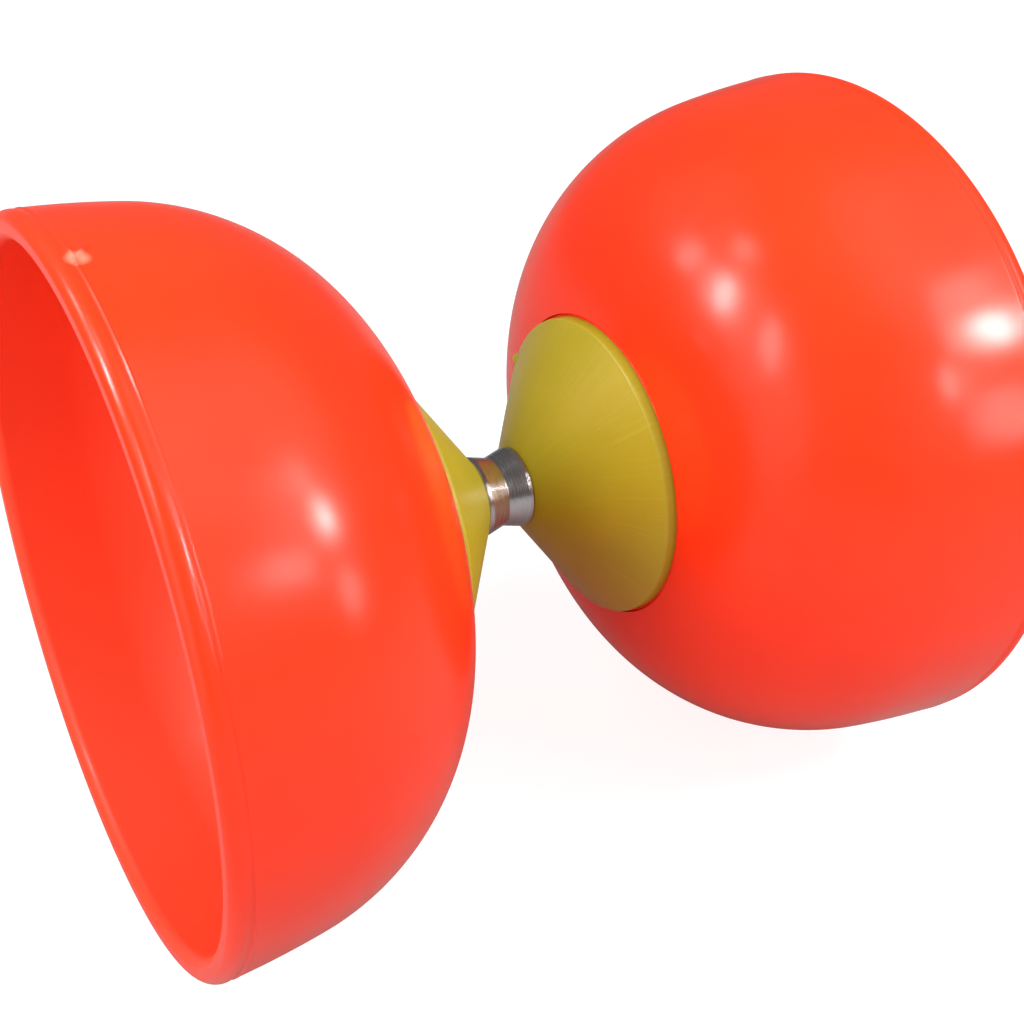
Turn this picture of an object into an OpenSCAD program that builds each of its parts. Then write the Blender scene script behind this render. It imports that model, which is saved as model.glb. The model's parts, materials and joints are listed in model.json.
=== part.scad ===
// Diabolo with two soft rubber cups on a fixed steel axle.
// The spin axis lies along Y and the origin is the middle of the waist.
// Left is -Y and right is +Y. Both halves are the same parts, turned end for end.
// Every section below is drawn as [radius, distance from the middle of the waist].

/* [Cups] */
// Outer diameter of a cup at its rim
cup_d = 125; // [124:0.5:126]
// Distance between the flat faces of the two rims
length = 147.2; // [146:0.2:148]
// Wall thickness of the bowl and of the web around the hub
cup_wall = 3.6; // [3.2:0.1:3.8]
// Radius of the arc that the outside of the bowl follows
bowl_r = 42; // [41.5:0.1:42.5]
// Angle at which the bowl's arc runs out into the straight band below the rim
bowl_run_out = 6; // [5.5:0.1:6.2]
// Radius of the rim's rounded bead
bead_r = 2.3; // [2.2:0.1:2.5]
// Distance from the rim's face down to the crease that sets the bead off from the bowl
bead_h = 3.6; // [3.4:0.1:3.8]
// Thickness of the rim from its bead to its inner edge
rim_thick = 4.6; // [4.5:0.1:4.8]

/* [Waist] */
// Diameter at the bottom of the string groove
groove_d = 12.4; // [12:0.1:12.8]
// Diameter of the metal where it meets the hub cones
waist_d = 14.4; // [13.6:0.1:15]
// Length of bare metal between the hub cones
waist_w = 8.8; // [8.4:0.1:9.2]
// Length of the plain cylindrical land between the groove and each end of the bare metal
waist_land = 0.6; // [0.4:0.1:0.8]
// Length of the spool's spigot inside each hub cone
spigot_l = 8; // [7:0.5:9]

/* [Hub] */
// Diameter of the hub cone's rim
cone_d = 54.6; // [54.2:0.1:55]
// Distance from the middle of the waist to the outer edge of the cone's sloping face
cone_a = 17.7; // [17.4:0.1:18]
// Size of the rounding between the cone's sloping face and its rim
cone_round = 1.2; // [1:0.1:1.4]
// Distance from the middle of the waist to the seat where the cone presses on the cup
seat_a = 21.6; // [21.4:0.1:21.8]
// Skin thickness of the cone, measured along the axis
cone_skin = 3.2; // [2.8:0.1:3.4]
// Thickness of the moulded stiffening ribs
rib_t = 1.6; // [1.2:0.1:2]
// Number of stiffening ribs in each cone and on each clamp plate
rib_n = 8; // [8]
// Diameter of the hole through the cup's web
web_hole_d = 34; // [33.6:0.1:34.4]
// Diameter of the inner clamp plate
plate_d = 54; // [52:0.5:56]
// Thickness of the clamp plate
plate_t = 3; // [2.6:0.1:3.4]

/* [Axle] */
// Diameter of the threaded rod
rod_d = 6; // [6]
// Length of rod that stands free beyond each lock nut
rod_free = 7; // [6:0.5:9]
// Diameter of the free ends of the rod, beyond the relief groove
rod_tip_d = 5.9; // [5.8:0.05:5.95]
// Diameter of the bore through the spool and the spacers
rod_hole_d = 6.2; // [6.2:0.1:6.4]
// Outer diameter of the spool's spigots and of the spacers
sleeve_d = 10; // [9.6:0.1:10.2]
// Outer diameter of the washers
washer_d = 18; // [16:0.5:20]
// Thickness of the washers
washer_t = 1.6; // [1.2:0.1:2]
// Distance across the flats of the lock nuts
nut_flats = 10; // [10]
// Height of the lock nuts
nut_h = 6; // [6:0.1:6.4]

/* [Plate screws] */
// Number of screws that hold each clamp plate
screw_n = 4; // [4]
// Diameter of the circle that the screws stand on
screw_circle_d = 43.6; // [43:0.1:44]
// Diameter of the screw shank
screw_d = 2.5; // [2.2:0.1:2.6]
// Length of the screw below its head
screw_l = 9.2; // [8.8:0.1:9.4]

/* [Hidden] */
$fn = 96;
// Turn of each cup about the axis, half a step of the rounding, so that it rests on a flat and not on a corner
seam_turn = 180 / 128;

cup_r = cup_d / 2;
rim_a = length / 2;
waist_a = waist_w / 2;
cone_r = cone_d / 2;
sleeve_r = sleeve_d / 2;
screw_circle_r = screw_circle_d / 2;

// The bowl's arc is centred this far inside the rim's radius and below its face, and the
// rim's face cuts this much off the top of its bead
bowl_inset = 1.2;
rim_band = 12.2;
bowl_centre = [cup_r - bowl_inset - bowl_r, rim_a - rim_band];
rim_in_r = cup_r - rim_thick;
bead_cut = 0.15;
bead_centre = [cup_r - bead_r, rim_a + bead_cut - bead_r];
bead_foot_a = rim_a - bead_h;

// The cone's rim drops into a shallow seat in the cup, with a hairline gap round it
seat_gap = 0.2;
web_lap = 1;
web_back_a = seat_a + cup_wall;
web_pad_r = 29.5;
web_pad_foot_r = 32;
web_pad_drop = 0.7;
web_screw_hole_d = 3.2;

// Ring, boss and pockets behind the cone
ring_t = 3;
ring_gap = 0.1;
ring_short = 0.2;
ring_out_r = web_hole_d / 2 - ring_gap;
ring_in_r = ring_out_r - ring_t;
boss_t = 3.6;
boss_r = sleeve_r + boss_t;
pocket_ring_wall = 1.5;
pocket_rim_wall = 2.1;
pocket_in_r = ring_out_r + pocket_ring_wall;
pocket_out_r = cone_r - pocket_rim_wall;
first_screw = 45;
screw_boss_r = 3;
pilot_spare = 0.4;

// Clamp plate, from the web to its raised boss
plate_back_a = web_back_a + plate_t;
plate_boss_h = 1.4;
plate_boss_r = 11;
plate_groove_r = 18.5;
plate_groove_d = 1.2;
plate_edge_bevel = 0.8;
plate_groove_wall = 1;
plate_rib_h = 0.9;
plate_rib_inset = 3;
stack_a = plate_back_a + plate_boss_h;

// Nut and rod
nut_a = stack_a + washer_t;
nut_hex_h = 4.4;
nut_top_a = nut_a + nut_h;
nut_bevel = 0.7;
collar_r = 4.5;
collar_mouth_r = 3.9;
insert_r = 4.1;
insert_h = 1.5;
insert_drop = 0.3;
rod_end_a = nut_top_a + rod_free;
rod_bevel = 0.8;
rod_relief_r = 2.6;
rod_relief_bevel = 0.4;
rod_tip_a = nut_top_a + 1.2;

// Spool details
waist_edge_bevel = 0.25;
spigot_bevel = 0.5;

// Screw head
head_r = 2.6;
head_h = 1.8;
head_slot_l = 3;
head_slot_w = 0.7;
head_slot_deep = 1;

// Distance that a cut runs past the faces that it opens
over = 1;

// Distance from the middle of the waist to the cone's surface at radius r
cone_slope = (cone_a - waist_a) / (cone_r - cone_round - waist_d / 2);
function cone_surface_a(r) = waist_a + (r - waist_d / 2) * cone_slope;

function polar(centre, r, angle) = [centre.x + r * cos(angle), centre.y + r * sin(angle)];

// Closes the outline of one half of a part with the same outline at its other end
function both_ends(half) = concat(half,
    [for (i = [len(half) - 1 : -1 : 0]) if (half[i].y > 0) [half[i].x, -half[i].y]]);

// A half drawn upwards is laid along the spin axis
module on_left() { rotate([90, 0, 0]) children(); }
module on_right() { rotate([-90, 0, 0]) children(); }

module at_screws() {
    for (i = [0 : screw_n - 1])
        rotate(first_screw + i * 360 / screw_n) translate([screw_circle_r, 0, 0]) children();
}

// Section of the bowl: a ring sector from the hub to the straight band
module bowl_section() {
    reach = 2 * bowl_r;
    intersection() {
        difference() {
            translate(bowl_centre) circle(bowl_r);
            translate(bowl_centre) circle(bowl_r - cup_wall);
        }
        polygon([bowl_centre,
            polar(bowl_centre, reach, -90),
            polar(bowl_centre, reach, -45),
            polar(bowl_centre, reach, -bowl_run_out)]);
    }
}

// Section of the straight band between the bowl and the rim, thicker towards the rim
module band_section() {
    band_in = polar(bowl_centre, bowl_r - cup_wall, -bowl_run_out);
    band_out = polar(bowl_centre, bowl_r, -bowl_run_out);
    polygon([polar(bowl_centre, bowl_r - cup_wall / 2, -2 * bowl_run_out),
        band_in,
        [rim_in_r, bead_centre.y],
        bead_centre,
        [band_out.x + (bead_foot_a - band_out.y) * tan(bowl_run_out), bead_foot_a],
        band_out]);
}

// Section of the rim's bead, cut flat at the rim's face and at its inner edge
module bead_section() {
    intersection() {
        translate(bead_centre) circle(bead_r);
        translate([rim_in_r, bead_foot_a]) square([2 * bead_r, rim_a - bead_foot_a]);
    }
}

// Section of the flat web that is trapped between the cone and the clamp plate
module web_section() {
    polygon([[web_hole_d / 2 - web_lap, seat_a - web_lap],
        [cone_r + web_lap, seat_a - web_lap],
        [web_pad_foot_r, web_back_a - web_pad_drop],
        [web_pad_r, web_back_a],
        [web_hole_d / 2 - web_lap, web_back_a]]);
}

module cup() {
    color([1, 0.24, 0.11])
    difference() {
        rotate(seam_turn) union() {
            rotate_extrude() bowl_section();
            rotate_extrude() band_section();
            rotate_extrude() bead_section();
            rotate_extrude() web_section();
        }
        cylinder(r = cone_r + seat_gap, h = seat_a);
        cylinder(d = web_hole_d, h = rim_a);
        at_screws() cylinder(d = web_screw_hole_d, h = rim_a);
    }
}

// Solid section of the cone, with the ring that centres the cup's web
module cone_section() {
    round_mid = cone_round * (1 - sin(45));
    polygon([[sleeve_r, waist_a],
        [waist_d / 2, waist_a],
        [cone_r - cone_round, cone_a],
        [cone_r - round_mid, cone_a + round_mid],
        [cone_r, cone_a + cone_round],
        [cone_r, seat_a],
        [ring_out_r, seat_a],
        [ring_out_r, web_back_a - ring_short],
        [boss_r, web_back_a - ring_short],
        [boss_r, web_back_a],
        [sleeve_r, web_back_a]]);
}

// Section of a pocket that follows the skin from radius r1 to radius r2
module pocket_section(r1, r2, mouth_a) {
    polygon([[r1, cone_surface_a(r1) + cone_skin],
        [r2, cone_surface_a(r2) + cone_skin],
        [r2, mouth_a],
        [r1, mouth_a]]);
}

module ribs(r1, r2, a1, a2, turn) {
    for (i = [0 : rib_n - 1])
        rotate(turn + i * 360 / rib_n)
            translate([r1, -rib_t / 2, a1]) cube([r2 - r1, rib_t, a2 - a1]);
}

module hub_cone() {
    color([0.68, 0.62, 0.17])
    difference() {
        rotate_extrude() cone_section();
        difference() {
            rotate_extrude() {
                pocket_section(boss_r, ring_in_r, rim_a);
                pocket_section(pocket_in_r, pocket_out_r, rim_a);
            }
            ribs(boss_r - over, pocket_out_r + over, waist_a, seat_a, 0);
            at_screws() cylinder(r = screw_boss_r, h = seat_a);
        }
        at_screws() translate([0, 0, plate_back_a - screw_l - pilot_spare])
            cylinder(d = screw_d, h = screw_l);
    }
}

module plate_section() {
    polygon([[sleeve_r, web_back_a],
        [plate_d / 2, web_back_a],
        [plate_d / 2, plate_back_a - plate_edge_bevel],
        [plate_d / 2 - plate_edge_bevel, plate_back_a],
        [plate_groove_r, plate_back_a],
        [plate_groove_r - plate_groove_wall, plate_back_a - plate_groove_d],
        [plate_boss_r + plate_groove_wall, plate_back_a - plate_groove_d],
        [plate_boss_r, stack_a],
        [sleeve_r, stack_a]]);
}

module clamp_plate() {
    color([0.09, 0.09, 0.1])
    difference() {
        union() {
            rotate_extrude() plate_section();
            ribs(plate_boss_r - over, plate_d / 2 - plate_rib_inset,
                plate_back_a - plate_groove_d, plate_back_a + plate_rib_h, 180 / rib_n);
        }
        at_screws() cylinder(d = web_screw_hole_d, h = rim_a);
    }
}

module plate_screw() {
    translate([0, 0, plate_back_a]) {
        translate([0, 0, -screw_l]) cylinder(d = screw_d, h = screw_l);
        difference() {
            intersection() {
                cylinder(r = head_r, h = head_h);
                translate([0, 0, -head_r]) sphere(r = head_r + head_h);
            }
            for (turn = [0, 90])
                rotate(turn) translate([-head_slot_l / 2, -head_slot_w / 2, head_h - head_slot_deep])
                    cube([head_slot_l, head_slot_w, head_h]);
        }
    }
}

module plate_screws() {
    color([0.62, 0.63, 0.65]) at_screws() plate_screw();
}

// Tube that takes the nut's load, so that the plastic and the rubber aren't crushed
module spacer() {
    tube_l = stack_a - waist_a - spigot_l;
    color([0.66, 0.67, 0.7])
    translate([0, 0, waist_a + spigot_l]) difference() {
        cylinder(d = sleeve_d, h = tube_l);
        translate([0, 0, -over]) cylinder(d = rod_hole_d, h = tube_l + 2 * over);
    }
}

module washer() {
    color([0.72, 0.73, 0.75])
    translate([0, 0, stack_a]) difference() {
        cylinder(d = washer_d, h = washer_t);
        translate([0, 0, -over]) cylinder(d = rod_hole_d, h = washer_t + 2 * over);
    }
}

// Outline that rounds off the corners of the nut and forms the collar above it
module nut_outline() {
    corner_r = nut_flats / sqrt(3);
    polygon([[0, nut_a],
        [corner_r - nut_bevel, nut_a],
        [corner_r, nut_a + nut_bevel / 2],
        [corner_r, nut_a + nut_hex_h - nut_bevel / 2],
        [corner_r - nut_bevel, nut_a + nut_hex_h],
        [0, nut_a + nut_hex_h]]);
}

module lock_nut() {
    color([0.7, 0.71, 0.73])
    difference() {
        union() {
            intersection() {
                translate([0, 0, nut_a]) cylinder(d = nut_flats * 2 / sqrt(3), h = nut_hex_h, $fn = 6);
                rotate_extrude() nut_outline();
            }
            rotate_extrude() polygon([[0, nut_a + nut_hex_h - over],
                [collar_r, nut_a + nut_hex_h - over],
                [collar_r, nut_top_a - insert_drop],
                [collar_r - insert_drop, nut_top_a],
                [0, nut_top_a]]);
        }
        cylinder(d = rod_d, h = rim_a);
        translate([0, 0, nut_top_a - insert_drop - insert_h]) cylinder(r = insert_r, h = insert_h);
        translate([0, 0, nut_top_a - insert_drop]) cylinder(r = collar_mouth_r, h = over);
    }
}

module nut_insert() {
    color([0.16, 0.3, 0.62])
    translate([0, 0, nut_top_a - insert_drop - insert_h]) difference() {
        cylinder(r = insert_r, h = insert_h);
        translate([0, 0, -over]) cylinder(d = rod_d, h = insert_h + 2 * over);
    }
}

// Outline of one end of the rod, from the lock nut past the relief groove to the tip
function rod_end() = [[rod_d / 2, nut_top_a],
    [rod_relief_r, nut_top_a + rod_relief_bevel],
    [rod_relief_r, rod_tip_a - rod_relief_bevel],
    [rod_tip_d / 2, rod_tip_a],
    [rod_tip_d / 2, rod_end_a - rod_bevel],
    [rod_tip_d / 2 - rod_bevel, rod_end_a],
    [0, rod_end_a]];

module axle_rod() {
    color([0.7, 0.71, 0.73])
    on_right() rotate_extrude() polygon(both_ends(rod_end()));
}

// Outline of one half of the spool, from the bottom of the groove to the bore
function spool_half() = [[groove_d / 2, 0],
    [waist_d / 2, waist_a - waist_edge_bevel - waist_land],
    [waist_d / 2, waist_a - waist_edge_bevel],
    [waist_d / 2 - waist_edge_bevel, waist_a],
    [sleeve_r, waist_a],
    [sleeve_r, waist_a + spigot_l - spigot_bevel],
    [sleeve_r - spigot_bevel, waist_a + spigot_l],
    [rod_hole_d / 2, waist_a + spigot_l]];

module waist_spool() {
    color([0.74, 0.74, 0.77])
    on_right() rotate_extrude() polygon(both_ends(spool_half()));
}

axle_rod();
waist_spool();
on_left() hub_cone();  // left_hub_cone
on_right() hub_cone();  // right_hub_cone
on_left() cup();  // left_cup
on_right() cup();  // right_cup
on_left() clamp_plate();  // left_clamp_plate
on_right() clamp_plate();  // right_clamp_plate
on_left() plate_screws();  // left_plate_screws
on_right() plate_screws();  // right_plate_screws
on_left() spacer();  // left_spacer
on_right() spacer();  // right_spacer
on_left() washer();  // left_washer
on_right() washer();  // right_washer
on_left() lock_nut();  // left_lock_nut
on_right() lock_nut();  // right_lock_nut
on_left() nut_insert();  // left_nut_insert
on_right() nut_insert();  // right_nut_insert
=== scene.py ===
import json
import math

import bmesh
import bpy
from mathutils import Matrix, Vector

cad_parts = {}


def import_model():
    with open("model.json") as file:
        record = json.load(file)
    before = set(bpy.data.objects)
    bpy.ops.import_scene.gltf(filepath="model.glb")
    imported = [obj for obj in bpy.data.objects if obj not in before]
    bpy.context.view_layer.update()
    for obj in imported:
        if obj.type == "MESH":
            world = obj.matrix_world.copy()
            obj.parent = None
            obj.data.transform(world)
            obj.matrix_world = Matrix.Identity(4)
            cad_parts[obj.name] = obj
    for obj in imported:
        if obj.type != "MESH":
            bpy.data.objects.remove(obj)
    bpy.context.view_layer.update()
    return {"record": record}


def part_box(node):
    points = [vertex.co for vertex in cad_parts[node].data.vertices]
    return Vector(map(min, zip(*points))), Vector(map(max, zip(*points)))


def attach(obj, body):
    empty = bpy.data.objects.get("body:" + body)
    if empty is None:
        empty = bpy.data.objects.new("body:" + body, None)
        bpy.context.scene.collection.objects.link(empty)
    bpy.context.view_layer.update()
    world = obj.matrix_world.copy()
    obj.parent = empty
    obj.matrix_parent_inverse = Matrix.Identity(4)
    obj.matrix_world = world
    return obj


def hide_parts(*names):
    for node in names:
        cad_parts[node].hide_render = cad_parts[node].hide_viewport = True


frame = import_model()

# Lengths are in millimetres until a mesh is made. A half of the diabolo is drawn as points
# (r, a): radius and distance from the middle of the waist. Side -1 is left (-Y), +1 is right (+Y).
MM = 0.001
SIDES = {"left": -1, "right": 1}
X, Y = 0, 1


def far(node, axis):
    """Largest distance of a CAD node from the middle of the waist along an axis."""
    low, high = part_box(node)
    return max(abs(low[axis]), abs(high[axis])) / MM


def near(node):
    """Smallest distance of a right-hand CAD node from the middle of the waist along the axle."""
    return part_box(node)[0].y / MM


CUP_R = far("right_cup", X)
RIM_A = far("right_cup", Y)
CONE_R = far("right_hub_cone", X)
WAIST_R = far("waist_spool", X)
WAIST_A = near("right_hub_cone")
SPIGOT_A = far("waist_spool", Y)
WEB_A = far("right_hub_cone", Y)
WEB_T = 3.6
SEAT_A = WEB_A - WEB_T
SLEEVE_R = far("right_spacer", X)
PLATE_R = far("right_clamp_plate", X)
PLATE_T = 3
PLATE_A = near("right_clamp_plate") + PLATE_T
STACK_A = far("right_spacer", Y)
WASHER_R = far("right_washer", X)
NUT_A = near("right_lock_nut")
NUT_TOP = far("right_lock_nut", Y)
NUT_CORNER = far("right_lock_nut", X)
ROD_R = far("axle_rod", X)
ROD_A = far("axle_rod", Y)
ROD_GAP = 0.1
SCREW_CIRCLE = 21.8
SCREW_ANGLES = [45, 135, 225, 315]
SCREW_R = 1.25
SCREW_HOLE_R = 1.6


# Outlines in the (r, a) plane

def arc(centre, radius, start, end, steps):
    """Points along an arc, angles in degrees from the direction of r."""
    turns = [math.radians(start + (end - start) * i / steps) for i in range(steps + 1)]
    return [(centre[0] + radius * math.cos(t), centre[1] + radius * math.sin(t)) for t in turns]


def rounded(corners, steps=5, closed=True):
    """Outline through (r, a) or (r, a, rounding) corners."""
    points = []
    count = len(corners)
    for i, corner in enumerate(corners):
        here = Vector(corner[:2])
        radius = corner[2] if len(corner) > 2 else 0
        if not radius or (not closed and i in (0, count - 1)):
            points.append(tuple(here))
            continue
        before = (Vector(corners[i - 1][:2]) - here).normalized()
        after = (Vector(corners[(i + 1) % count][:2]) - here).normalized()
        reach = radius / math.tan(before.angle(after) / 2)
        start = here + before * reach
        end = here + after * reach
        for k in range(steps + 1):
            t = k / steps
            points.append(tuple(start * (1 - t) ** 2 + here * 2 * t * (1 - t) + end * t ** 2))
    return points


def line(start, end, step):
    """Points from start to end, without the end itself."""
    start = Vector(start)
    end = Vector(end)
    parts = max(1, math.ceil((end - start).length / step))
    return [tuple(start.lerp(end, k / parts)) for k in range(parts)]


SUPPORT = 0.12
SUPPORT_STEP = 4


def supported(points):
    """Adds points close to both ends of each long straight, so that it's shaded flat."""
    result = []
    for i, point in enumerate(points):
        here = Vector(point)
        there = Vector(points[(i + 1) % len(points)])
        length = (there - here).length
        result.append(tuple(here))
        if length > 4 * SUPPORT:
            inner = here.lerp(there, SUPPORT / length)
            outer = there.lerp(here, SUPPORT / length)
            result += line(inner, outer, SUPPORT_STEP) + [tuple(outer)]
    return result


# Meshes

SMOOTH_BELOW = 40


def place(r, a, angle, side=1):
    """Point in metres, at an angle in radians from +X towards +Z."""
    return Vector((r * math.cos(angle), side * a, r * math.sin(angle))) * MM


def closed(bm):
    """Turns all the faces of a closed mesh outwards."""
    bmesh.ops.recalc_face_normals(bm, faces=bm.faces)
    if bm.calc_volume(signed=True) < 0:
        bmesh.ops.reverse_faces(bm, faces=bm.faces)
    return bm


def rows(bm, outline, angles, side, shift):
    """Vertices of an outline at each angle, as pairs of neighbouring rows.

    shift(r, a, angle), where it's given, moves each point.
    """
    made = []
    for angle in angles:
        moved = [shift(r, a, angle) if shift else (r, a) for r, a in outline]
        made.append([bm.verts.new(place(r, a, angle, side)) for r, a in moved])
    return list(zip(made, made[1:] + made[:1]))


def revolved(outline, angles, side=1, shift=None):
    """Solid of revolution from a closed outline that stands off the axis."""
    bm = bmesh.new()
    for ring, following in rows(bm, outline, angles, side, shift):
        for k in range(len(ring)):
            nxt = (k + 1) % len(ring)
            bm.faces.new((ring[k], ring[nxt], following[nxt], following[k]))
    return closed(bm)


def turned(outline, angles, shift=None):
    """Solid of revolution whose outline starts and ends on the axis."""
    bm = bmesh.new()
    pairs = rows(bm, outline[1:-1], angles, 1, shift)
    first = bm.verts.new(place(0, outline[0][1], 0))
    last = bm.verts.new(place(0, outline[-1][1], 0))
    for ring, following in pairs:
        bm.faces.new((first, ring[0], following[0]))
        bm.faces.new((last, following[-1], ring[-1]))
        for k in range(len(ring) - 1):
            bm.faces.new((ring[k], ring[k + 1], following[k + 1], following[k]))
    return closed(bm)


def even_angles(count):
    return [2 * math.pi * i / count for i in range(count)]


def new_object(name, bm, smooth_below=SMOOTH_BELOW):
    """Object from a bmesh, smooth-shaded where faces meet at less than the angle in degrees."""
    mesh = bpy.data.meshes.new(name)
    bm.to_mesh(mesh)
    bm.free()
    obj = bpy.data.objects.new(name, mesh)
    bpy.context.scene.collection.objects.link(obj)
    shade(obj, smooth_below)
    return obj


def shade(obj, smooth_below=SMOOTH_BELOW):
    limit = math.radians(smooth_below)
    obj.data.shade_smooth()
    bm = bmesh.new()
    bm.from_mesh(obj.data)
    for edge in bm.edges:
        edge.smooth = len(edge.link_faces) == 2 and edge.calc_face_angle() < limit
    bm.to_mesh(obj.data)
    bm.free()


def combined(meshes):
    """One bmesh from several."""
    total = bmesh.new()
    for bm in meshes:
        mesh = bpy.data.meshes.new("part")
        bm.to_mesh(mesh)
        bm.free()
        total.from_mesh(mesh)
        bpy.data.meshes.remove(mesh)
    return total


def screw_rod(r, start_a, end_a, degrees):
    """Plain cylinder where the plate screw at an angle goes."""
    outline = [(0, start_a), (r, start_a), (r, end_a), (0, end_a)]
    bm = turned(outline, even_angles(24))
    bmesh.ops.translate(bm, verts=bm.verts, vec=place(SCREW_CIRCLE, 0, math.radians(degrees)))
    return bm


def screw_holes(r, start_a, end_a):
    """Cutter for one hole at each plate screw."""
    return combined([screw_rod(r, start_a, end_a, turn) for turn in SCREW_ANGLES])


def combine(obj, bm, operation):
    """Joins a bmesh to obj (UNION) or cuts it away (DIFFERENCE)."""
    tool = new_object("tool", bm)
    modifier = obj.modifiers.new("combine", "BOOLEAN")
    modifier.operation = operation
    modifier.solver = "EXACT"
    modifier.object = tool
    graph = bpy.context.evaluated_depsgraph_get()
    mesh = bpy.data.meshes.new_from_object(obj.evaluated_get(graph))
    obj.modifiers.clear()
    old = obj.data
    obj.data = mesh
    mesh.name = obj.name
    bpy.data.meshes.remove(old)
    tool_mesh = tool.data
    bpy.data.objects.remove(tool)
    bpy.data.meshes.remove(tool_mesh)
    shade(obj)


def flipped_copy(obj, name):
    """The same part on the left: turned end for end about the X axis."""
    copy = bpy.data.objects.new(name, obj.data.copy())
    copy.data.transform(Matrix.Rotation(math.pi, 4, "X"))
    bpy.context.scene.collection.objects.link(copy)
    return copy


# Cups

BOWL_R = 42
BOWL_WALL = 3.6
BOWL_INSET = 1.2
RIM_BAND = 12.2
BOWL_CENTRE = (CUP_R - BOWL_INSET - BOWL_R, RIM_A - RIM_BAND)
# degrees along the bowl's arc, down from level with its centre: where the inside and the
# outside run out into the rim's band, and where the inside ends at the web
RUN_OUT = 6
BOWL_END = 9
BOWL_FOOT = 71
RIM_THICK = 4.6
RIM_IN_R = CUP_R - RIM_THICK
BEAD_R = 2.3
BEAD_CUT = 0.15
BEAD_CENTRE = (CUP_R - BEAD_R, RIM_A + BEAD_CUT - BEAD_R)
# degrees along the bead's arc, from the crease to the rim's flat lip
BEAD_START = -22
BEAD_TOP = 69
BEAD_H = 3.6
CREASE_R = CUP_R - 0.07
CREASE_A = RIM_A - BEAD_H
RECESS_R = CONE_R - 0.03
WEB_FOOT_R = 31.2
WEB_HOLE_R = 17
NICK_ANGLE = 80.6
NICK_LENGTH = 4.0
NICK_FORK = 2.6
NICK_HEIGHT = 0.7
NICK_REACH = 7


def band_r(a):
    """Radius of the gently curved band outside the cup, from the bowl's arc to the crease."""
    start_a = BOWL_CENTRE[1] - BOWL_R * math.sin(math.radians(BOWL_END))
    start_r = BOWL_CENTRE[0] + BOWL_R * math.cos(math.radians(BOWL_END))
    span = CREASE_A - start_a
    slope = math.tan(math.radians(BOWL_END))
    end_slope = 2 * (CREASE_R - start_r) / span - slope
    t = (a - start_a) / span
    return start_r + span * (slope * t + (end_slope - slope) * t ** 2 / 2)


def cup_outline():
    wall_r = BOWL_R - BOWL_WALL
    seat_angle = -math.degrees(math.acos((RECESS_R + 0.6 - BOWL_CENTRE[0]) / BOWL_R))
    outside = arc(BOWL_CENTRE, BOWL_R, seat_angle, -BOWL_END, 80)
    foot_a = CREASE_A - 0.5
    fine_a = foot_a - 4
    band = [(band_r(a), a) for a, _ in line((outside[-1][1], 0), (fine_a, 0), 0.8)[1:]]
    band += [(band_r(a), a) for a, _ in line((fine_a, 0), (foot_a, 0), 0.28)]
    crease = rounded([
        (band_r(foot_a), foot_a),
        (band_r(CREASE_A - 0.3) + 0.02, CREASE_A - 0.3, 0.1),
        (CUP_R + 0.02, CREASE_A - 0.08, 0.14),
        (CUP_R - 0.24, CREASE_A + 0.22, 0.16),
        arc(BEAD_CENTRE, BEAD_R, BEAD_START, 0, 1)[0]], closed=False)[:-1]
    bead = arc(BEAD_CENTRE, BEAD_R, BEAD_START, BEAD_TOP, 26)
    inner_bead = arc(BEAD_CENTRE, BEAD_R, 180 - BEAD_TOP, 180, 18)
    lip = supported([bead[-1], inner_bead[0]])[1:3]
    inside_satin_and_painted_sheen = arc(BOWL_CENTRE, wall_r, -RUN_OUT, -BOWL_FOOT, 64)
    inner_band = line(inner_bead[-1], inside_satin_and_painted_sheen[0], 1.5)[1:]
    web = rounded([
        inside_satin_and_painted_sheen[-1],
        (WEB_FOOT_R, WEB_A - 0.05, 0.5),
        (WEB_HOLE_R, WEB_A, 0.3),
        (WEB_HOLE_R, SEAT_A, 0.2),
        (RECESS_R, SEAT_A, 0.3),
        (RECESS_R, outside[0][1] + 0.1, 0.3),
        outside[0]], closed=False)[1:-1]
    rim = crease + bead + lip + inner_bead + inner_band
    return outside + band + rim + inside_satin_and_painted_sheen + supported(web)[:-1]


def ridge(x, y, end_x, end_y, width):
    """Height from 0 to 1 of a small ridge from (0, 0) to its end."""
    length = math.hypot(end_x, end_y)
    along = max(0, min(1, (x * end_x + y * end_y) / length ** 2))
    distance = math.hypot(x - along * end_x, y - along * end_y)
    return math.exp(-((distance / width) ** 2)) * (1 - 0.5 * along)


def nicked(r, a, angle):
    """Raises the V-shaped tear in the moulding flash beside the left rim's crease."""
    around = (angle - math.radians(NICK_ANGLE)) * CUP_R
    above = a - CREASE_A
    if r < RIM_IN_R + 3 or max(abs(around), abs(above)) > NICK_REACH:
        return r, a
    upper = ridge(around, above, NICK_LENGTH, 0.1, 0.5)
    lower = ridge(around, above, NICK_LENGTH, -NICK_FORK, 0.45)
    return r + NICK_HEIGHT * max(upper, lower), a


def cup(name, side):
    angles = even_angles(360)
    if side < 0:
        # closer steps round the tear
        middle = math.radians(NICK_ANGLE)
        angles = sorted(angles + [middle + math.radians(0.16 * k) for k in range(-20, 40)])
    obj = new_object(name, revolved(cup_outline(), angles, side, nicked if side < 0 else None))
    holes = screw_holes(SCREW_HOLE_R, SEAT_A - 2, WEB_A + 2)
    bmesh.ops.scale(holes, verts=holes.verts, vec=(1, side, 1))
    combine(obj, closed(holes), "DIFFERENCE")
    return obj


# Hub cones

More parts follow.
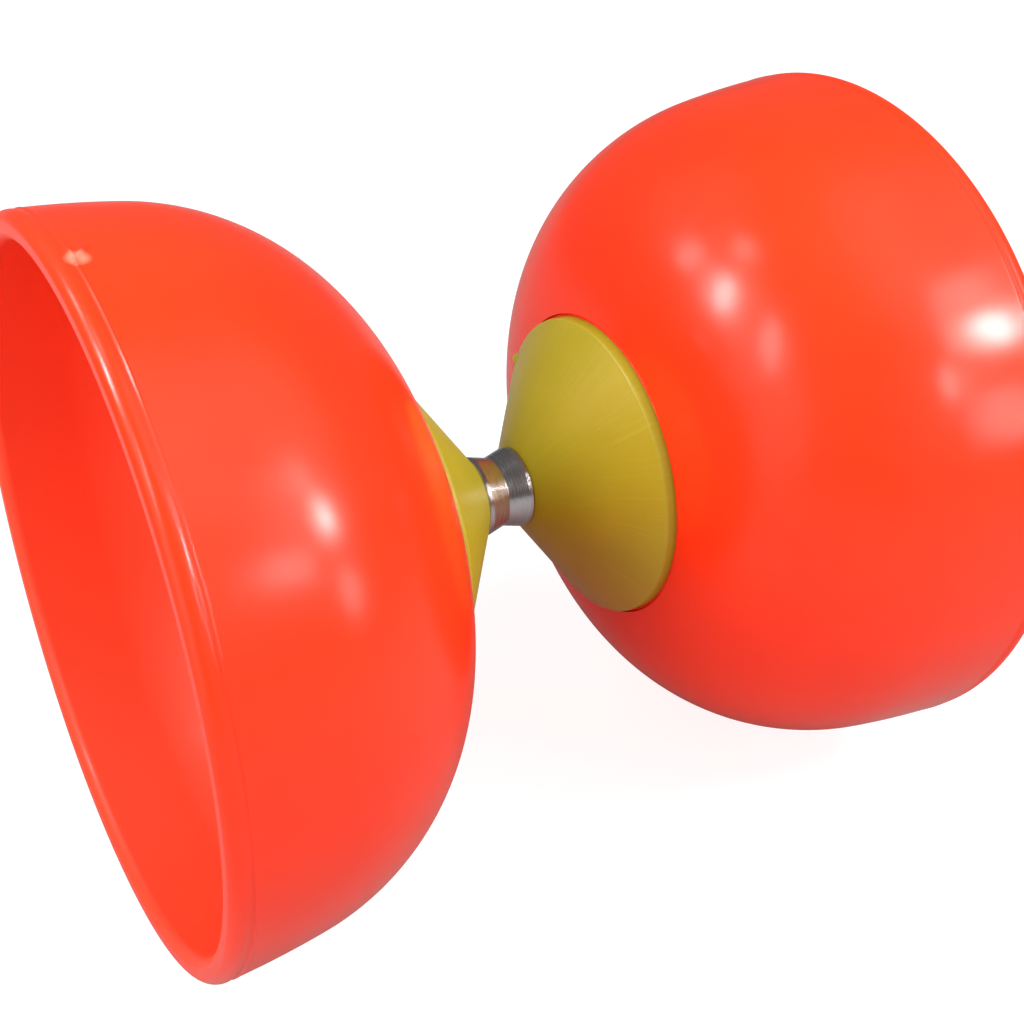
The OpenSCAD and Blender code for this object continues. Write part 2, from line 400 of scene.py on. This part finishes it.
CONE_FACE_A = 17.7
CONE_ROUND = 1.2
CONE_SLOPE = (CONE_FACE_A - WAIST_A) / (CONE_R - CONE_ROUND - WAIST_R)
CONE_SKIN = 3.2
RIB_HALF = 0.8
RIBS = 8
CORE_R = 8.6
RING_IN_R = 13.9
RING_OUT_R = 16.9
RING_A = WEB_A - 0.2
POCKETS = [(8.8, 13.7), (18.4, 25.2)]
SCREW_BOSS_R = 3
PILOT_L = 9.6
TICK_ANGLE = 154.75
TICK_WIDTH = 0.45
TICK_HEIGHT = 0.5
TICK_REACH = 2.5


def cone_a(r):
    """Place along the axle of the cone's sloping face at a radius."""
    return WAIST_A + (r - WAIST_R) * CONE_SLOPE


def ticked(r, a, angle):
    """Raises a tiny tongue of moulding flash on the right cone's rim."""
    around = (angle - math.radians(TICK_ANGLE)) * CONE_R
    if r < CONE_R - 2 or a > SEAT_A - 0.5 or abs(around) > TICK_REACH:
        return r, a
    height = TICK_HEIGHT * math.exp(-((around / TICK_WIDTH) ** 2))
    return r + height, a - height


def pocket(r1, r2, start):
    """Cutter for one pocket behind the cone, between two ribs that start at an angle."""
    bm = bmesh.new()
    steps = 8
    mouth = SEAT_A + 0.5
    grid = []
    for r in (r1, (r1 + r2) / 2, r2):
        lean = math.asin(RIB_HALF / r)
        span = 2 * math.pi / RIBS - 2 * lean
        turns = [start + lean + span * i / steps for i in range(steps + 1)]
        grid.append([(bm.verts.new(place(r, cone_a(r) + CONE_SKIN, t)),
                      bm.verts.new(place(r, mouth, t))) for t in turns])
    for near_row, far_row in zip(grid, grid[1:]):
        for i in range(steps):
            for level in (0, 1):
                bm.faces.new((near_row[i][level], near_row[i + 1][level],
                              far_row[i + 1][level], far_row[i][level]))
        for i in (0, steps):
            bm.faces.new((near_row[i][0], far_row[i][0], far_row[i][1], near_row[i][1]))
    for row in (grid[0], grid[-1]):
        for i in range(steps):
            bm.faces.new((row[i][0], row[i + 1][0], row[i + 1][1], row[i][1]))
    return closed(bm)


def cone_outline():
    foot = (WAIST_R + 0.3, cone_a(WAIST_R + 0.3))
    edge = (CONE_R - 0.8, cone_a(CONE_R - 0.8))
    face = line(foot, edge, 1.6)
    front = rounded([(SLEEVE_R, WAIST_A), (WAIST_R, WAIST_A, 0.12), foot], closed=False)[:-1]
    back = rounded([
        edge,
        (CONE_R, cone_a(CONE_R), 0.7),
        (CONE_R, SEAT_A, 0.15),
        (RING_OUT_R, SEAT_A, 0.1),
        (RING_OUT_R, RING_A, 0.2),
        (RING_IN_R, RING_A, 0.1),
        (RING_IN_R, SEAT_A),
        (CORE_R, SEAT_A),
        (CORE_R, WEB_A, 0.1),
        (SLEEVE_R, WEB_A)], steps=8, closed=False)
    bore = line(back[-1], (SLEEVE_R, WAIST_A), 3)
    return supported(front)[:-1] + face + supported(back)[:-1] + bore


def screw_boss(degrees):
    """Boss round one pilot hole, with its foot inside the cone's skin."""
    bm = screw_rod(SCREW_BOSS_R, WAIST_A, SEAT_A - 0.02, degrees)
    for vert in bm.verts:
        if vert.co.y < MM * (WAIST_A + 0.1):
            r = math.hypot(vert.co.x, vert.co.z) / MM
            vert.co.y = MM * (cone_a(r) + CONE_SKIN / 2)
    return bm


def hub_cone(name, shift=None):
    angles = even_angles(288)
    if shift:
        # closer steps round the tick, just off the even ones
        middle = math.radians(TICK_ANGLE)
        angles = sorted(angles + [middle + math.radians(0.25 * k + 0.01) for k in range(-10, 11)])
    obj = new_object(name, revolved(cone_outline(), angles, 1, shift))
    # one cut for each pocket, because a single cut with all of them misses the outer ones
    for i in range(RIBS):
        for r1, r2 in POCKETS:
            combine(obj, pocket(r1, r2, math.radians(360 / RIBS * i)), "DIFFERENCE")
    combine(obj, combined([screw_boss(turn) for turn in SCREW_ANGLES]), "UNION")
    combine(obj, screw_holes(SCREW_R, PLATE_A - PILOT_L, WEB_A), "DIFFERENCE")
    return obj


# Waist

GROOVE_R = 6.2
LAND = 0.6
WAIST_BEVEL = 0.25


def waist_spool(name):
    half = [
        (GROOVE_R, 0, 0.6),
        (WAIST_R, WAIST_A - WAIST_BEVEL - LAND, 0.5),
        (WAIST_R, WAIST_A - 0.05, 0.2),
        (SLEEVE_R + 0.2, WAIST_A - 0.02, 0.1),
        (SLEEVE_R, WAIST_A + 0.1, 0.05),
        (SLEEVE_R, SPIGOT_A, 0.5),
        (ROD_R + ROD_GAP, SPIGOT_A, 0.2)]
    other = [(r, -a, rounding) for r, a, rounding in half[:0:-1]]
    return new_object(name, revolved(supported(rounded(half + other)), even_angles(192)))


# Axle: rod, spacers, washers, nuts and their inserts

PITCH = 1.0
THREAD_DEPTH = 0.5
THREAD_FROM = 27.5
THREAD_RUN_IN = 0.8
CREST = 0.3


def thread_depth(a, angle):
    """Depth of the rod's right-hand thread below its crest."""
    phase = (a / PITCH - angle / (2 * math.pi)) % 1
    flank = min(1, max(0, (abs(phase - 0.5) - CREST / 2) / (0.5 - CREST / 2 - 0.1)))
    return THREAD_DEPTH * flank


def threaded(r, a, angle):
    """Cuts the thread into both ends of the rod."""
    depth = min(1, max(0, (abs(a) - THREAD_FROM) / THREAD_RUN_IN))
    return r - thread_depth(a, angle) * depth, a


def axle_rod(name):
    tip = [(0, ROD_A), (ROD_R - 0.95, ROD_A), (ROD_R - 0.8, ROD_A)]
    tip += line((ROD_R - 0.75, ROD_A - 0.05), (ROD_R - 0.05, ROD_A - 0.8), 0.12)
    threads = line((ROD_R, ROD_A - 0.85), (ROD_R, THREAD_FROM), 0.1)
    half = tip + threads
    middle = line((ROD_R, THREAD_FROM), (ROD_R, -THREAD_FROM), 4)
    outline = half + middle + [(r, -a) for r, a in half[::-1]]
    return new_object(name, turned(outline, even_angles(56), threaded), smooth_below=60)


def tube(name, inner, outer, start, end, edge):
    corners = [(outer, start, edge), (outer, end, edge), (inner, end, edge), (inner, start, edge)]
    return new_object(name, revolved(supported(rounded(corners)), even_angles(128)))


HEX_HALF = 5
HEX_H = 4.4
COLLAR_R = 4.5
COLLAR_MOUTH_R = 3.9
INSERT_R = 4.1
INSERT_TOP = NUT_TOP - 0.3
INSERT_FOOT = NUT_TOP - 1.8


def hexed(r, a, angle):
    """Cuts the round outline of a nut to its six flats."""
    turn = (angle + math.pi / 6) % (math.pi / 3) - math.pi / 6
    return min(r, HEX_HALF / math.cos(turn)), a


def lock_nut(name):
    chamfer = (NUT_CORNER - HEX_HALF + 0.3) * math.tan(math.radians(30))
    hex_top = NUT_A + HEX_H
    outline = [(ROD_R, NUT_A + 0.3), (ROD_R + 0.3, NUT_A), (HEX_HALF - 0.3, NUT_A)]
    outline += line((HEX_HALF - 0.25, NUT_A + 0.03), (NUT_CORNER, NUT_A + chamfer), 0.1)
    outline += line((NUT_CORNER, NUT_A + chamfer), (NUT_CORNER, hex_top - chamfer), 0.5)
    outline += line((NUT_CORNER, hex_top - chamfer), (HEX_HALF - 0.2, hex_top), 0.1)
    outline += rounded([
        (HEX_HALF - 0.2, hex_top),
        (COLLAR_R, hex_top, 0.2),
        (COLLAR_R, NUT_TOP, 0.5),
        (COLLAR_MOUTH_R, NUT_TOP, 0.12),
        (COLLAR_MOUTH_R, INSERT_TOP, 0.05),
        (INSERT_R, INSERT_TOP - 0.05),
        (INSERT_R, INSERT_FOOT),
        (ROD_R, INSERT_FOOT - 0.05),
        (ROD_R, NUT_A + 2)], closed=False)
    return new_object(name, revolved(outline, even_angles(144), 1, hexed), smooth_below=25)


# Clamp plates and their screws

PLATE_GROOVE = 1.2
PLATE_GROOVE_R = 18.5
PLATE_BOSS_R = 11
PLATE_RIB_H = 0.9
PLATE_RIB_INSET = 3


def plate_rib(degrees):
    """A rib with a rounded top, standing on the plate along a radius."""
    low = PLATE_A - PLATE_GROOVE
    high = PLATE_A + PLATE_RIB_H
    section = rounded([(-RIB_HALF, low), (-RIB_HALF, high, 0.35),
                       (RIB_HALF, high, 0.35), (RIB_HALF, low)])
    bm = bmesh.new()
    ends = [[bm.verts.new((r * MM, a * MM, across * MM)) for across, a in section]
            for r in (PLATE_BOSS_R - 1, PLATE_R - PLATE_RIB_INSET)]
    for i in range(len(section)):
        k = (i + 1) % len(section)
        bm.faces.new((ends[0][i], ends[0][k], ends[1][k], ends[1][i]))
    bm.faces.new(ends[0])
    bm.faces.new(ends[1])
    bmesh.ops.rotate(bm, verts=bm.verts, matrix=Matrix.Rotation(math.radians(-degrees), 3, "Y"))
    return closed(bm)


def clamp_plate(name):
    outline = rounded([
        (SLEEVE_R, WEB_A, 0.1),
        (PLATE_R, WEB_A, 0.3),
        (PLATE_R, PLATE_A, 0.8),
        (PLATE_GROOVE_R, PLATE_A, 0.25),
        (PLATE_GROOVE_R - 1, PLATE_A - PLATE_GROOVE, 0.3),
        (PLATE_BOSS_R + 1, PLATE_A - PLATE_GROOVE, 0.4),
        (PLATE_BOSS_R, STACK_A, 0.35),
        (SLEEVE_R, STACK_A, 0.15)])
    obj = new_object(name, revolved(supported(outline), even_angles(224)))
    ribs = [plate_rib(180 / RIBS + 360 / RIBS * i) for i in range(RIBS)]
    combine(obj, combined(ribs), "UNION")
    combine(obj, screw_holes(SCREW_HOLE_R, WEB_A - 1, PLATE_A + 1), "DIFFERENCE")
    return obj


HEAD_R = 2.6
HEAD_H = 1.8
SHANK_L = 9.2
SCREW_PITCH = 0.9
SCREW_THREAD_DEPTH = 0.32
SLOT_DEPTH = 1.0


def screw_thread(r, a, angle):
    """Cuts the coarse self-tapping thread of a plate screw's shank."""
    if a > PLATE_A - 1 or r < 0.6:
        return r, a
    fade = min(1, (a - (PLATE_A - SHANK_L)) / 1.2)
    phase = (a / SCREW_PITCH - angle / (2 * math.pi)) % 1
    crest = max(0, 1 - abs(phase - 0.5) / 0.3)
    return r - SCREW_THREAD_DEPTH * (1 - crest) * max(0.2, fade), a


def cross_recess():
    """Cutters for the cross slot in a screw head: two bars that narrow towards the bottom."""
    bars = []
    top = PLATE_A + HEAD_H + 0.5
    for quarter in (0, 1):
        # the second bar goes a little deeper, so that the two bottoms aren't in one plane
        bottom = PLATE_A + HEAD_H - SLOT_DEPTH - 0.06 * quarter
        bm = bmesh.new()
        ends = []
        for a, x, z in ((bottom, 0.75, 0.22), (top, 1.75, 0.42)):
            ends.append([bm.verts.new((across * MM, a * MM, along * MM))
                         for across, along in ((-x, -z), (x, -z), (x, z), (-x, z))])
            bm.faces.new(ends[-1])
        for i in range(4):
            k = (i + 1) % 4
            bm.faces.new((ends[0][i], ends[0][k], ends[1][k], ends[1][i]))
        bmesh.ops.rotate(bm, verts=bm.verts, matrix=Matrix.Rotation(math.pi / 2 * quarter, 3, "Y"))
        bars.append(closed(bm))
    return bars


def plate_screws(name):
    point_a = PLATE_A - SHANK_L
    shoulder = (SCREW_R, point_a + 1.1)
    neck = (SCREW_R, PLATE_A - 0.6)
    shank = line((0.25, point_a), shoulder, 0.2) + line(shoulder, neck, 0.15)
    head = rounded([
        neck,
        (SCREW_R, PLATE_A, 0.1),
        (HEAD_R, PLATE_A, 0.12),
        (HEAD_R, PLATE_A + 0.55, 0.3),
        (HEAD_R - 0.75, PLATE_A + HEAD_H - 0.25, 1.3),
        (0, PLATE_A + HEAD_H)], steps=8, closed=False)
    outline = [(0, point_a - 0.2)] + shank + head
    one = new_object(name, turned(outline, even_angles(48), screw_thread))
    for bar in cross_recess():
        combine(one, bar, "DIFFERENCE")
    copies = []
    for turn in SCREW_ANGLES:
        bm = bmesh.new()
        bm.from_mesh(one.data)
        # each screw was tightened to a different turn
        spin = Matrix.Rotation(math.radians(2.3 * turn), 3, "Y")
        bmesh.ops.rotate(bm, verts=bm.verts, matrix=spin)
        bmesh.ops.translate(bm, verts=bm.verts, vec=place(SCREW_CIRCLE, 0, math.radians(turn)))
        copies.append(bm)
    total = combined(copies)
    total.to_mesh(one.data)
    total.free()
    return one


# Materials

class Shader:
    """A material's node tree, with short calls for the nodes that repeat."""

    def __init__(self, name):
        self.material = bpy.data.materials.new(name)
        self.material.use_nodes = True
        self.tree = self.material.node_tree
        self.bsdf = self.tree.nodes["Principled BSDF"]
        self.coords = self.add("ShaderNodeTexCoord").outputs["Object"]

    def add(self, kind, **settings):
        node = self.tree.nodes.new(kind)
        for key, value in settings.items():
            setattr(node, key, value)
        return node

    def link(self, a, b):
        self.tree.links.new(a, b)

    def into(self, name, output):
        self.link(output, self.bsdf.inputs[name])

    def set(self, **values):
        for key, value in values.items():
            self.bsdf.inputs[key.replace("_", " ")].default_value = value

    def math(self, operation, first, second=None):
        node = self.add("ShaderNodeMath", operation=operation)
        for socket, value in zip(node.inputs, (first, second)):
            if isinstance(value, (int, float)):
                socket.default_value = value
            elif value is not None:
                self.link(value, socket)
        return node.outputs[0]

    def split(self):
        node = self.add("ShaderNodeSeparateXYZ")
        self.link(self.coords, node.inputs[0])
        return node.outputs

    def join(self, x, y, z):
        node = self.add("ShaderNodeCombineXYZ")
        for socket, value in zip(node.inputs, (x, y, z)):
            if isinstance(value, (int, float)):
                socket.default_value = value
            else:
                self.link(value, socket)
        return node.outputs[0]

    def around(self, along_angle, along_radius, along_axis):
        """Coordinates that follow the turning direction: angle, radius and place along the axle."""
        x, y, z = self.split()
        angle = self.math("ARCTAN2", z, x)
        squares = self.math("ADD", self.math("MULTIPLY", x, x), self.math("MULTIPLY", z, z))
        radius = self.math("SQRT", squares)
        # the sine and cosine keep the pattern whole where the angle starts again
        return self.join(
            self.math("ADD", self.math("MULTIPLY", self.math("COSINE", angle), along_angle),
                      self.math("MULTIPLY", radius, along_radius)),
            self.math("MULTIPLY", self.math("SINE", angle), along_angle),
            self.math("MULTIPLY", y, along_axis))

    def noise(self, scale, detail=3, rough=0.5, where=None):
        node = self.add("ShaderNodeTexNoise")
        node.inputs["Scale"].default_value = scale
        node.inputs["Detail"].default_value = detail
        node.inputs["Roughness"].default_value = rough
        self.link(where or self.coords, node.inputs["Vector"])
        return node.outputs["Fac"]

    def specks(self, scale, size, share):
        """Sparse round dots, 1 in the middle and 0 elsewhere. share of the cells have one."""
        node = self.add("ShaderNodeTexVoronoi")
        node.inputs["Scale"].default_value = scale
        self.link(self.coords, node.inputs["Vector"])
        dot = self.spread(node.outputs["Distance"], 1, 0, 0, size)
        pick = self.add("ShaderNodeSeparateColor")
        self.link(node.outputs["Color"], pick.inputs[0])
        return self.math("MULTIPLY", dot, self.math("LESS_THAN", pick.outputs[0], share))

    def distance(self, point):
        """Distance in metres from a point on the object."""
        node = self.add("ShaderNodeVectorMath", operation="DISTANCE")
        self.link(self.coords, node.inputs[0])
        node.inputs[1].default_value = point
        return node.outputs["Value"]

    def facing(self, point):
        """How squarely the surface faces a point: 1 straight at it, 0 edge on, below 0 away."""
        way = self.add("ShaderNodeVectorMath", operation="SUBTRACT")
        self.link(point, way.inputs[0])
        self.link(self.coords, way.inputs[1])
        unit = self.add("ShaderNodeVectorMath", operation="NORMALIZE")
        self.link(way.outputs["Vector"], unit.inputs[0])
        node = self.add("ShaderNodeVectorMath", operation="DOT_PRODUCT")
        self.link(unit.outputs["Vector"], node.inputs[0])
        self.link(self.add("ShaderNodeNewGeometry").outputs["Normal"], node.inputs[1])
        return node.outputs["Value"]

    def spread(self, factor, low, high, lowest=0.3, highest=0.7):
        node = self.add("ShaderNodeMapRange")
        ends = {"From Min": lowest, "From Max": highest, "To Min": low, "To Max": high}
        for key, value in ends.items():
            node.inputs[key].default_value = value
        self.link(factor, node.inputs["Value"])
        return node.outputs["Result"]

    def blend_colour(self, factor, first, second):
        node = self.add("ShaderNodeMix", data_type="RGBA")
        self.link(factor, node.inputs["Factor"])
        for socket, value in ((node.inputs[6], first), (node.inputs[7], second)):
            if isinstance(value, tuple):
                socket.default_value = (*value, 1)
            else:
                self.link(value, socket)
        return node.outputs[2]

    def bump(self, height, strength, distance, below=None):
        """Bump in the normal, on top of another bump where one is given. Returns the normal."""
        node = self.add("ShaderNodeBump")
        node.inputs["Strength"].default_value = strength
        node.inputs["Distance"].default_value = distance
        self.link(height, node.inputs["Height"])
        if below:
            self.link(below, node.inputs["Normal"])
        return node.outputs["Normal"]


def cup_rubber():
    s = Shader("cup_rubber")
    tone = s.spread(s.noise(28, 4), 0, 1)
    colour = s.blend_colour(tone, (0.94, 0.040, 0.008), (0.96, 0.047, 0.010))
    # the inside of the bowl faces the middle of its own mouth and is satin; its colour is made a
    # little paler there as a painted sheen of reflected light
    mouth = s.join(0, s.math("MULTIPLY", s.math("SIGN", s.split()[1]), RIM_A * MM), 0)
    inside_satin_and_painted_sheen = s.spread(s.facing(mouth), 0, 1, 0.15, 0.4)
    # painted sheen: the paler colour inside the bowl stands in for light reflected there
    colour = s.blend_colour(inside_satin_and_painted_sheen, colour, (0.95, 0.068, 0.024))
    dust = s.specks(70, 0.022, 0.06)
    # painted highlight: a pale pink spot on the rim beside the tear, where the lip's highlight
    # begins
    tear = place(CUP_R, CREASE_A - 0.6, math.radians(NICK_ANGLE + 0.9), -1)
    painted_nick_highlight = s.spread(s.distance(tear), 1, 0, 0.0008, 0.0021)
    colour = s.blend_colour(s.math("MULTIPLY", dust, 0.6), colour, (1.0, 0.30, 0.16))
    s.into("Base Color", s.blend_colour(s.math("MULTIPLY", painted_nick_highlight, 0.75), colour, (1.0, 0.34, 0.22)))
    rough = s.spread(s.noise(90, 5), 0.21, 0.27)
    s.into("Roughness", s.math("ADD", rough, s.math("MULTIPLY", inside_satin_and_painted_sheen, 0.22)))
    s.set(Coat_Weight=0.1, Coat_Roughness=0.14, Specular_IOR_Level=0.42)
    peel = s.bump(s.noise(900, 2), 0.04, 0.0002)
    waves = s.bump(s.noise(45, 2), 0.06, 0.0006, peel)
    s.into("Normal", s.bump(dust, 0.4, 0.0003, waves))
    return s.material


def hub_plastic():
    s = Shader("hub_plastic")
    tone = s.spread(s.noise(60, 5), 0, 1)
    colour = s.blend_colour(tone, (0.405, 0.350, 0.018), (0.445, 0.390, 0.022))
    streak = s.noise(3, 6, 0.7, s.around(14, 30, 30))
    worn = s.spread(streak, 0, 0.35, 0.5, 0.75)
    s.into("Base Color", s.blend_colour(worn, colour, (0.56, 0.46, 0.06)))
    s.into("Roughness", s.spread(streak, 0.28, 0.38, 0.35, 0.65))
    scratches = s.bump(s.noise(9, 6, 0.75, s.around(16, 12, 12)), 0.07, 0.0004)
    s.into("Normal", s.bump(s.noise(1300, 3), 0.10, 0.0002, scratches))
    return s.material


def turned_steel(name, colour, rough, ring_strength, anisotropy=0.0):
    """Steel off a lathe: fine rings round the axle and a soft, smeared shine."""
    s = Shader(name)
    s.set(Metallic=1.0, Anisotropic=anisotropy)
    rings = s.noise(1, 3, 0.6, s.around(0.3, 9000, 9000))
    cloud = s.spread(s.noise(350, 4), 0, 1)
    s.into("Base Color", s.blend_colour(cloud, colour, tuple(0.86 * c for c in colour)))
    s.into("Roughness", s.spread(rings, rough - 0.04, rough + 0.06))
    s.into("Normal", s.bump(rings, ring_strength, 0.0001))
    if anisotropy:
        s.set(Anisotropic_Rotation=0.25)
        tangent = s.add("ShaderNodeTangent", direction_type="RADIAL", axis="Y")
        s.into("Tangent", tangent.outputs[0])
    return s.material


def plated_steel(name, colour, rough):
    """Zinc plating: a faint bluish cloud and fine, even grain."""
    s = Shader(name)
    s.set(Metallic=1.0)
    cloud = s.spread(s.noise(420, 5), 0, 1)
    darker = (colour[0] * 0.82, colour[1] * 0.85, colour[2] * 0.9)
    s.into("Base Color", s.blend_colour(cloud, colour, darker))
    s.into("Roughness", s.spread(s.noise(900, 4), rough - 0.05, rough + 0.08))
    s.into("Normal", s.bump(s.noise(2500, 2), 0.08, 0.0001))
    return s.material


def black_nylon():
    s = Shader("clamp_nylon")
    tone = s.spread(s.noise(180, 5), 0, 1)
    fibres = s.noise(14, 5, 0.7, s.around(30, 60, 60))
    s.into("Base Color", s.blend_colour(tone, (0.012, 0.012, 0.014), (0.024, 0.024, 0.027)))
    s.into("Roughness", s.spread(fibres, 0.40, 0.62))
    grain = s.bump(s.noise(2400, 3), 0.25, 0.0002)
    s.into("Normal", s.bump(fibres, 0.1, 0.0003, grain))
    return s.material


def insert_nylon():
    s = Shader("insert_nylon")
    tone = s.spread(s.noise(500, 4), 0, 1)
    s.into("Base Color", s.blend_colour(tone, (0.02, 0.07, 0.33), (0.03, 0.10, 0.42)))
    s.into("Roughness", s.spread(s.noise(900, 3), 0.34, 0.5))
    s.into("Normal", s.bump(s.noise(1800, 2), 0.1, 0.0001))
    return s.material


def dress(obj, material):
    """Puts one material on every slot of an object."""
    if not obj.material_slots:
        obj.data.materials.append(material)
    for slot in obj.material_slots:
        slot.material = material


MATERIALS = {
    "cup_rubber": cup_rubber(),
    "hub_plastic": hub_plastic(),
    "polished_steel": turned_steel("polished_steel", (0.70, 0.67, 0.68), 0.24, 0.2, 0.7),
    "zinc_steel": plated_steel("zinc_steel", (0.66, 0.67, 0.70), 0.3),
    "tube_steel": turned_steel("tube_steel", (0.6, 0.61, 0.63), 0.34, 0.2),
    "clamp_plastic": black_nylon(),
    "insert_nylon": insert_nylon(),
}
SLOTS = {part["node"]: part["material_slot"] for part in frame["record"]["subparts"]}


def finish_piece(obj, node):
    """Gives a piece the finish and the body of the CAD node that it stands for."""
    slot = SLOTS[node]
    dress(obj, MATERIALS[slot])
    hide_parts(node)
    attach(obj, "root")


for side_name, side in SIDES.items():
    finish_piece(cup(f"{side_name}_cup_moulding", side), f"{side_name}_cup")

both_sides = {
    "clamp_plate": clamp_plate("right_clamp_plate_moulding"),
    "plate_screws": plate_screws("right_plate_screw_set"),
    "spacer": tube("right_spacer_tube", ROD_R + ROD_GAP, SLEEVE_R, SPIGOT_A, STACK_A, 0.15),
    "washer": tube("right_washer_disc", ROD_R + ROD_GAP, WASHER_R, STACK_A, NUT_A, 0.22),
    "lock_nut": lock_nut("right_lock_nut_hex"),
    "nut_insert": tube("right_nut_insert_ring", ROD_R, INSERT_R, INSERT_FOOT, INSERT_TOP, 0.15),
}
for part, right in both_sides.items():
    finish_piece(flipped_copy(right, right.name.replace("right", "left")), f"left_{part}")
    finish_piece(right, f"right_{part}")

left_cone = hub_cone("left_hub_cone_moulding")
left_cone.data.transform(Matrix.Rotation(math.pi, 4, "X"))
finish_piece(left_cone, "left_hub_cone")
finish_piece(hub_cone("right_hub_cone_moulding", ticked), "right_hub_cone")
finish_piece(waist_spool("waist_spool_turned"), "waist_spool")
finish_piece(axle_rod("axle_rod_threaded"), "axle_rod")


# Floor, lights and camera

FLOOR_SEEN = 0.88
FLOOR_SOFT = 0.5
FLOOR_MIRRORED = 0.08
FLOOR_TINT = (1.0, 0.16, 0.08)
WORLD_SEEN = 1.0
WORLD_SOFT = 0.12
WORLD_MIRRORED = 0.12


def glow(tree, seen, soft, mirrored):
    """Strength of light for the camera, for soft light on the object and for its mirror image.

    Returns the Light Path node and the strength.
    """
    path = tree.nodes.new("ShaderNodeLightPath")
    total = None
    strengths = {"Is Camera Ray": seen, "Is Diffuse Ray": soft, "Is Glossy Ray": mirrored}
    for ray, strength in strengths.items():
        node = tree.nodes.new("ShaderNodeMath")
        node.operation = "MULTIPLY_ADD"
        tree.links.new(path.outputs[ray], node.inputs[0])
        node.inputs[1].default_value = strength
        if total:
            tree.links.new(total, node.inputs[2])
        else:
            node.inputs[2].default_value = 0
        total = node.outputs[0]
    return path, total


def floor():
    bm = bmesh.new()
    bmesh.ops.create_grid(bm, x_segments=1, y_segments=1, size=6)
    obj = new_object("floor", bm)
    obj.location.z = -CUP_R * MM
    s = Shader("floor_white")
    s.set(Base_Color=(0.25, 0.25, 0.25, 1), Roughness=0.9, Specular_IOR_Level=0.0)
    path, strength = glow(s.tree, FLOOR_SEEN, FLOOR_SOFT, FLOOR_MIRRORED)
    s.into("Emission Strength", strength)
    # what falls back on the object is tinted by the red light that the cups throw on the floor
    s.into("Emission Color", s.blend_colour(path.outputs["Is Diffuse Ray"], (1, 1, 1), FLOOR_TINT))
    dress(obj, s.material)


def world():
    data = bpy.data.worlds.new("studio")
    data.use_nodes = True
    background = data.node_tree.nodes["Background"]
    background.inputs["Color"].default_value = (1, 1, 1, 1)
    strength = glow(data.node_tree, WORLD_SEEN, WORLD_SOFT, WORLD_MIRRORED)[1]
    data.node_tree.links.new(strength, background.inputs["Strength"])
    bpy.context.scene.world = data


def softbox(name, position, width, height, power, glossy=True):
    """Area light at a position in metres, facing the object and hidden from the camera."""
    data = bpy.data.lights.new(name, "AREA")
    data.shape = "ELLIPSE"
    data.size = width
    data.size_y = height
    data.energy = power
    light = bpy.data.objects.new(name, data)
    bpy.context.scene.collection.objects.link(light)
    light.location = position
    light.rotation_euler = Vector(position).to_track_quat("Z", "Y").to_euler()
    light.visible_camera = False
    light.visible_glossy = glossy


CAMERA_TURN = 61.54
CAMERA_TILT = 31.78
CAMERA_PLACE = (3.4673, -1.8987, 2.3735)
CAMERA_LENS = 57.21
CAMERA_SHIFT = (0.0242, 0.0024)


def camera():
    """Camera that looks from CAMERA_PLACE, in rim radii, level with the horizon."""
    turn = math.radians(CAMERA_TURN)
    tilt = math.radians(CAMERA_TILT)
    level = math.cos(tilt)
    back = Vector((math.sin(turn) * level, -math.cos(turn) * level, math.sin(tilt)))
    right = Vector((math.cos(turn), math.sin(turn), 0))
    up = back.cross(right)
    data = bpy.data.cameras.new("camera")
    data.lens = CAMERA_LENS
    data.sensor_width = 36
    data.shift_x, data.shift_y = CAMERA_SHIFT
    data.clip_start = 0.01
    obj = bpy.data.objects.new("camera", data)
    bpy.context.scene.collection.objects.link(obj)
    axes = Matrix((right, up, back)).transposed().to_4x4()
    obj.matrix_world = Matrix.Translation(Vector(CAMERA_PLACE) * CUP_R * MM) @ axes
    bpy.context.scene.camera = obj


floor()
world()
camera()
softbox("overhead", (0.35, 0.55, 1.05), 1.3, 1.3, 15, glossy=False)
softbox("front_fill", (1.25, 0.3, 0.5), 1.2, 1.0, 3, glossy=False)
softbox("back_fill", (-0.7, -0.5, 0.9), 0.9, 0.9, 4, glossy=False)
softbox("bowl_fill", (0.4, -1.1, 0.3), 0.9, 0.9, 9, glossy=False)
# windows mirrored in the cups: a bright pane and a few dim ones on each side
softbox("right_pane", (0.242, 0.216, 0.209), 0.034, 0.055, 0.29)
softbox("right_pane_lower", (0.243, 0.172, 0.075), 0.05, 0.07, 0.05)
softbox("right_pane_front", (0.37, 0.17, 0.206), 0.06, 0.07, 0.095)
softbox("right_pane_upper", (0.27, 0.27, 0.37), 0.10, 0.08, 0.10)
softbox("left_pane", (-0.037, -0.268, 0.269), 0.045, 0.09, 0.40)
softbox("left_pane_back", (-0.151, -0.221, 0.261), 0.06, 0.08, 0.08)
softbox("left_pane_upper", (-0.043, -0.156, 0.333), 0.06, 0.06, 0.05)
softbox("left_pane_front", (0.121, -0.261, 0.244), 0.05, 0.12, 0.12)
softbox("left_glow", (0.0, -0.75, 0.65), 0.6, 0.5, 0.5)

bpy.context.scene.view_settings.view_transform = "Standard"
